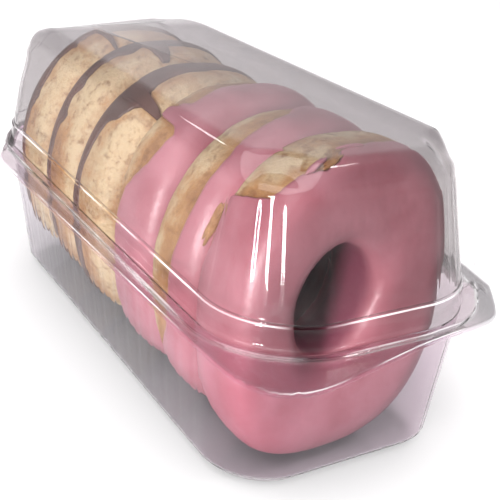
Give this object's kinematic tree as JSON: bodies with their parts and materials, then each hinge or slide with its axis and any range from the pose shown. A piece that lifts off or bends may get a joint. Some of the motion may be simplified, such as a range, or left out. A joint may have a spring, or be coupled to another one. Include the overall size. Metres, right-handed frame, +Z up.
{
  "type": "box of doughnuts",
  "caption": "Long clear plastic hinged box holding a row of iced ring doughnuts that stand on edge, some pink and some chocolate.",
  "frame": {"origin": "centre of the bounding box seen from above, at the bottom of the box", "axes": "+Y along the row, from the pink doughnuts to the chocolate ones; +X towards the lid's fold; +Z up"},
  "size_m": [0.1082, 0.2232, 0.0967],
  "materials": {
    "clear_pet": "clear thin thermoformed sheet, glossy",
    "fried_dough": "fried dough, matte and porous",
    "pink_icing": "set sugar icing, soft gloss",
    "chocolate_icing": "set chocolate icing, soft gloss"
  },
  "bodies": {
    "base": {"box_base": "clear_pet", "hinge_fold": "clear_pet", "dough_ring_1": "fried_dough", "dough_ring_2": "fried_dough", "dough_ring_3": "fried_dough", "dough_ring_4": "fried_dough", "dough_ring_5": "fried_dough", "dough_ring_6": "fried_dough", "pink_icing_1": "pink_icing", "pink_icing_2": "pink_icing", "pink_icing_3": "pink_icing", "chocolate_icing_4": "chocolate_icing", "chocolate_icing_5": "chocolate_icing", "chocolate_icing_6": "chocolate_icing"},
    "lid": {"box_lid": "clear_pet"}
  },
  "joints": [
    {"name": "lid_hinge", "type": "hinge", "parent": "base", "child": "lid", "pos_m": [0.0535, 0.0046, 0.05], "axis": [0, 1, 0], "range_deg": [0, 180]}
  ]
}
